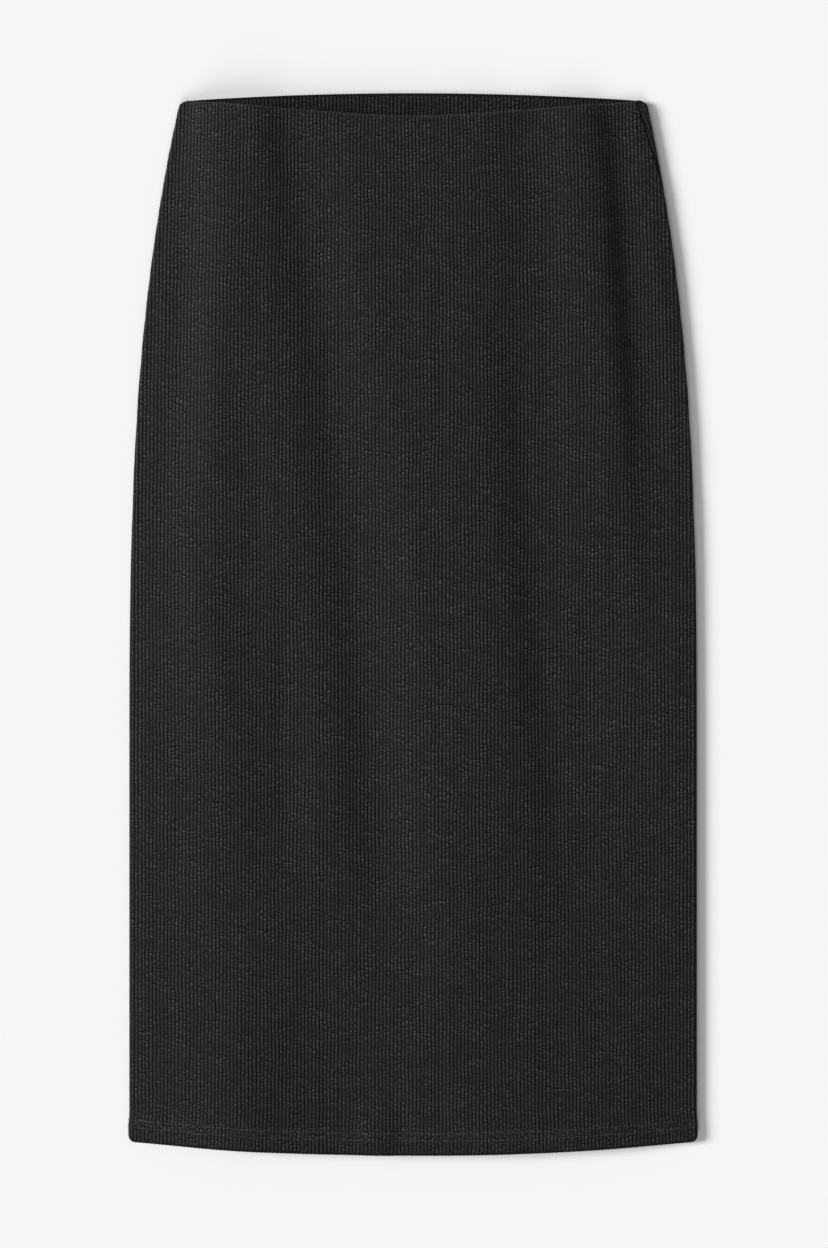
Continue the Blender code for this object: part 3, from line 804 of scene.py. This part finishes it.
# %% Make the two panels
def make_panel(name, columns, heights, rows, hem_edge, top, is_back):
    across, below, out, cloth, edges = place_panel(columns, heights, rows, top, is_back)
    if not is_back:
        across, out = settle_cloth(across, below, out)
        inside_seams = np.abs(cloth) < np.abs(cloth).max(axis=1, keepdims=True) - 2 * RIB_PITCH
        across = np.where(inside_seams, pull_wales(across, rows), across)
    points = skirt_layer(across, below, out)
    return shell(name, points, cloth - columns[0], below, edges, hem_edge, jersey)


front_cloth = make_panel(
    "front_cloth", front_columns, front_heights, front_rows, front_hem_edge, front_waist,
    is_back=False,
)
back_cloth = make_panel(
    "back_cloth", back_columns, back_heights, back_rows, back_hem_edge, back_waist,
    is_back=True,
)

# %% [markdown]
# ## The hem's stitching
#
# The turned-up hem is held by a cover stitch: two even rows of thread on the outside, 5.5 mm
# apart. Each row is a path laid on the cloth. Geometry Nodes step along the path and put one
# short stitch of thread at each step, turned to lie along it, with a little seeded unevenness.

# %% A stitching tree
THREAD_RADIUS = 0.00028
STITCH_LENGTH = 0.0020
STITCH_STEP = 0.0026
STITCH_TILT = 0.10
PATCHES_PER_METRE = 420.0
PATCH_RELIEF = 0.0001
THREAD_DARK = linear("#0e0e0f")
THREAD_LIGHT = linear("#38383a")


def make_thread():
    """Black polyester sewing thread, with more shine than the matt jersey."""
    material, tree, shader = new_material("black_polyester_thread")
    where = add_node(tree, "ShaderNodeTexCoord").outputs["Object"]
    patches = add_node(
        tree, "ShaderNodeTexNoise", {"Vector": where, "Scale": PATCHES_PER_METRE, "Detail": 2.0}
    )
    shade = add_node(
        tree, "ShaderNodeMix", {0: patches, 6: THREAD_DARK, 7: THREAD_LIGHT}, data_type="RGBA"
    )
    tree.links.new(shade.outputs[2], shader.inputs["Base Color"])
    bump = add_node(
        tree, "ShaderNodeBump", {"Strength": 0.4, "Distance": PATCH_RELIEF, "Height": patches}
    )
    tree.links.new(bump.outputs[0], shader.inputs["Normal"])
    shader.inputs["Roughness"].default_value = 0.45
    shader.inputs["Sheen Weight"].default_value = 0.2
    return material


def make_stitching_tree():
    tree = bpy.data.node_groups.new("cover_stitch", "GeometryNodeTree")
    sizes = {"Step": STITCH_STEP, "Length": STITCH_LENGTH, "Radius": THREAD_RADIUS}

    def socket(name, kind, in_out="INPUT"):
        return tree.interface.new_socket(name, in_out=in_out, socket_type="NodeSocket" + kind)

    socket("Geometry", "Geometry")
    for name, value in sizes.items():
        socket(name, "Float").default_value = value
    socket("Seed", "Int")
    socket("Thread", "Material")
    socket("Geometry", "Geometry", "OUTPUT")

    given = add_node(tree, "NodeGroupInput").outputs
    path = add_node(tree, "GeometryNodeMeshToCurve", {0: given["Geometry"]})
    steps = add_node(
        tree, "GeometryNodeCurveToPoints", {"Curve": path, "Length": given["Step"]}, mode="LENGTH"
    )
    half = add_node(tree, "ShaderNodeMath", {0: given["Length"], 1: 0.5}, operation="MULTIPLY")
    radius = given["Radius"]
    size = add_node(tree, "ShaderNodeCombineXYZ", {0: radius, 1: radius, 2: half})
    grain = add_node(tree, "GeometryNodeMeshUVSphere", {"Segments": 6, "Rings": 5, "Radius": 1.0})
    lowest, highest = (-STITCH_TILT, -STITCH_TILT, 0.0), (STITCH_TILT, STITCH_TILT, 0.0)
    tilt = add_node(
        tree, "FunctionNodeRandomValue", {0: lowest, 1: highest, "Seed": given["Seed"]},
        data_type="FLOAT_VECTOR",
    )
    tilted = add_node(tree, "FunctionNodeEulerToRotation", {0: tilt})
    turned = add_node(
        tree, "FunctionNodeRotateRotation", {0: steps.outputs["Rotation"], 1: tilted},
        rotation_space="LOCAL",
    )
    stitches = add_node(
        tree, "GeometryNodeInstanceOnPoints",
        {"Points": steps, "Instance": grain, "Rotation": turned, "Scale": size},
    )
    real = add_node(tree, "GeometryNodeRealizeInstances", {0: stitches})
    soft = add_node(tree, "GeometryNodeSetShadeSmooth", {0: real})
    done = add_node(tree, "GeometryNodeSetMaterial", {0: soft, "Material": given["Thread"]})
    add_node(tree, "NodeGroupOutput", {0: done})
    return tree


thread = make_thread()
cover_stitch = make_stitching_tree()
print(cover_stitch.name, "with", len(cover_stitch.nodes), "nodes")

# %% [markdown]
# The path of a row is lifted just so far that the thread lies on the pressed wales. The result of
# the nodes is read back as a plain mesh, because the modifier itself isn't kept.

# %% Lay the rows of stitches
PATH_STEP = 0.001
PATH_CORRECTIONS = 8
PATH_INSET = 0.0012
THREAD_LIFT = 0.00024


def stitch_paths(is_back):
    """Points of each row of stitches, a little short of the side seams."""
    paths = []
    for drop in STITCH_ROWS:
        reach = cut_half(SIDE_LENGTH) - PATH_INSET
        line = np.arange(-reach, reach, PATH_STEP)
        if is_back:
            reach = QUARTER + flat_reach(SIDE_LENGTH)
            line = np.arange(-reach + PATH_INSET, reach - PATH_INSET, PATH_STEP)
            side = np.where(line < 0.0, -1.0, 1.0)
            line = side * (cut_half(SIDE_LENGTH) + reach - np.abs(line))
        below = np.full_like(line, SIDE_LENGTH)
        for _ in range(PATH_CORRECTIONS):
            below = hem_bow(skirt_point(line, below)[..., 0]) - drop
        over = np.clip(np.abs(line) - cut_half(below), 0.0, QUARTER)
        out = THREAD_LIFT - (THREAD_LIFT + THREAD_RADIUS) * np.sin(over / SIDE_RADIUS)
        if not is_back:
            line, out = settle_cloth(line, below, out)
        paths.append(skirt_layer(line, below, out))
    return paths


def lay_stitches(name, paths, seed):
    """Runs the stitching tree over the paths and returns its result as one piece."""
    data = bpy.data.meshes.new(name)
    points, edges = [], []
    for path in paths:
        first = len(points)
        points += path.tolist()
        edges += [(k, k + 1) for k in range(first, len(points) - 1)]
    data.from_pydata(points, edges, [])
    path_object = bpy.data.objects.new(name + "_path", data)
    bpy.context.scene.collection.objects.link(path_object)
    modifier = path_object.modifiers.new("stitches", "NODES")
    modifier.node_group = cover_stitch
    sockets = [item for item in cover_stitch.interface.items_tree if item.in_out == "INPUT"]
    identifiers = {socket.name: socket.identifier for socket in sockets}
    modifier[identifiers["Seed"]] = seed
    modifier[identifiers["Thread"]] = thread
    evaluated = path_object.evaluated_get(bpy.context.evaluated_depsgraph_get())
    mesh = bpy.data.meshes.new_from_object(evaluated)
    path_object.modifiers.remove(modifier)
    bpy.data.objects.remove(path_object)
    mesh.name = name
    piece = bpy.data.objects.new(name, mesh)
    bpy.context.scene.collection.objects.link(piece)
    print(f"{name}: {len(mesh.polygons)} faces")
    return piece


front_hem_stitches = lay_stitches("front_hem_stitches", stitch_paths(is_back=False), seed=3)
back_hem_stitches = lay_stitches("back_hem_stitches", stitch_paths(is_back=True), seed=5)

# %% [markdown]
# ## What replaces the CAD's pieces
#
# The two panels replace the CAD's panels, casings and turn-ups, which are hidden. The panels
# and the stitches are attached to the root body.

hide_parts("front_panel", "front_waist_casing", "front_hem_turn_up")
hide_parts("back_panel", "back_waist_casing", "back_hem_turn_up")
for piece in (front_cloth, back_cloth, front_hem_stitches, back_hem_stitches):
    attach(piece, "root")

# %% [markdown]
# ## The studio
#
# The skirt lies on a plain pale floor. A wide soft sun from the left, low enough to draw the
# wales and folds, a weaker and softer one from the hem's side and an even white sky light it. The
# camera looks straight down, as in the photograph, from far enough that the skirt shows almost
# without perspective.

# %% Floor, light and camera
FLOOR_DROP = 0.0003
FLOOR_REACH = 40.0
PIXEL = 0.00075
PHOTO_ROWS = 1248
FRAME_HEIGHT = PHOTO_ROWS * PIXEL
CAMERA_HEIGHT = 2.6
KEY_DIRECTION = (1.0, -0.06, -0.48)
FILL_DIRECTION = (0.15, 1.0, -0.66)
KEY_STRENGTH = 4.62
FILL_STRENGTH = 1.31
SKY_STRENGTH = 0.156
KEY_ANGLE = 22
FILL_ANGLE = 40
SENSOR_WIDTH = 36.0

floor_data = bpy.data.meshes.new("floor")
ways = ((-1, -1), (1, -1), (1, 1), (-1, 1))
corners = [(x * FLOOR_REACH, y * FLOOR_REACH, -FLOOR_DROP) for x, y in ways]
floor_data.from_pydata(corners, [], [(0, 1, 2, 3)])
floor = bpy.data.objects.new("floor", floor_data)
bpy.context.scene.collection.objects.link(floor)

# Matt white background paper.
paper, _, paper_shader = new_material("white_background_paper")
paper_shader.inputs["Base Color"].default_value = linear("#f4f4f4")
paper_shader.inputs["Roughness"].default_value = 1.0
paper_shader.inputs["Specular IOR Level"].default_value = 0.0
floor_data.materials.append(paper)

for name, direction, strength, angle in (
    ("key", KEY_DIRECTION, KEY_STRENGTH, KEY_ANGLE),
    ("fill", FILL_DIRECTION, FILL_STRENGTH, FILL_ANGLE),
):
    sun_data = bpy.data.lights.new(name, "SUN")
    sun_data.energy = strength
    sun_data.angle = math.radians(angle)
    sun = bpy.data.objects.new(name, sun_data)
    sun.rotation_euler = Vector(direction).to_track_quat("-Z", "Y").to_euler()
    bpy.context.scene.collection.objects.link(sun)

world = bpy.data.worlds.new("studio")
world.use_nodes = True
sky = world.node_tree.nodes["Background"]
sky.inputs["Color"].default_value = (1.0, 1.0, 1.0, 1.0)
sky.inputs["Strength"].default_value = SKY_STRENGTH
bpy.context.scene.world = world
bpy.context.scene.view_settings.view_transform = "Standard"

camera_data = bpy.data.cameras.new("camera")
camera_data.sensor_width = SENSOR_WIDTH
camera_data.lens = camera_data.sensor_width * CAMERA_HEIGHT / FRAME_HEIGHT
camera = bpy.data.objects.new("camera", camera_data)
camera.location = (PIXEL, -PIXEL / 2, CAMERA_HEIGHT + SIDE_RADIUS)
bpy.context.scene.collection.objects.link(camera)
bpy.context.scene.camera = camera
print(f"camera {CAMERA_HEIGHT} m up, {camera_data.lens:.1f} mm lens")
